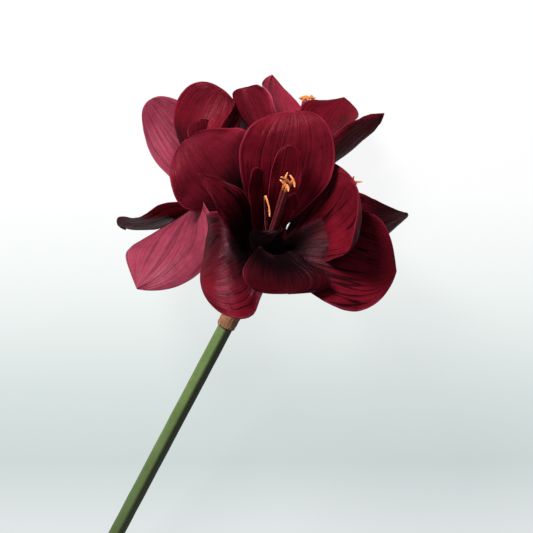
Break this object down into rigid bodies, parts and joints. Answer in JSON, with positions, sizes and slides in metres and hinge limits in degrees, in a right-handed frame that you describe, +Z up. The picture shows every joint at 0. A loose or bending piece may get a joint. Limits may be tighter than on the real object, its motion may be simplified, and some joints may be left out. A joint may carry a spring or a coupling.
{
  "type": "amaryllis flower stem",
  "caption": "Cut amaryllis lying on its side: a thick green scape with a papery spathe and a head of dark wine-red, semi-double trumpet blooms.",
  "frame": {"origin": "centre of the flower's bounding box on the surface it lies on", "axes": "+Y along the scape from its cut end to the head, +Z up, +X to the right seen from the cut end"},
  "size_m": [0.2744, 0.5916, 0.2604],
  "materials": {
    "scape": null,
    "spathe": "dry brown papery bract, matt and wrinkled",
    "tube": null,
    "tepal": null,
    "tepal_pale": null,
    "petaloid": null,
    "stamen": null
  },
  "bodies": {
    "root": {"scape": "scape", "spathe": "spathe", "front_tube": "tube", "front_tepal_top": "tepal", "front_tepal_right": "tepal", "front_tepal_lower_right": "tepal", "front_tepal_bottom": "tepal", "front_tepal_lower_left": "tepal", "front_tepal_left": "tepal", "front_petaloids": "petaloid", "front_stamens": "stamen", "left_tube": "tube", "left_tepal_top": "tepal", "left_tepal_near": "tepal", "left_tepal_far": "tepal_pale", "left_tepal_narrow": "tepal", "left_tepal_lower": "tepal_pale", "left_tepal_inward": "tepal", "left_petaloids": "petaloid", "left_stamens": "stamen", "back_tube": "tube", "back_tepal_folded": "tepal", "back_tepal_pointed": "tepal", "back_tepal_far_right": "tepal", "back_tepal_right": "tepal", "back_tepal_low": "tepal", "back_tepal_near": "tepal", "back_petaloids": "petaloid", "back_stamens": "stamen", "right_tube": "tube", "right_tepal_near": "tepal", "right_tepal_upper_near": "tepal", "right_tepal_upper_far": "tepal", "right_tepal_far": "tepal", "right_tepal_low": "tepal", "right_tepal_lower_near": "tepal", "right_petaloids": "petaloid", "right_stamens": "stamen"}
  },
  "joints": []
}
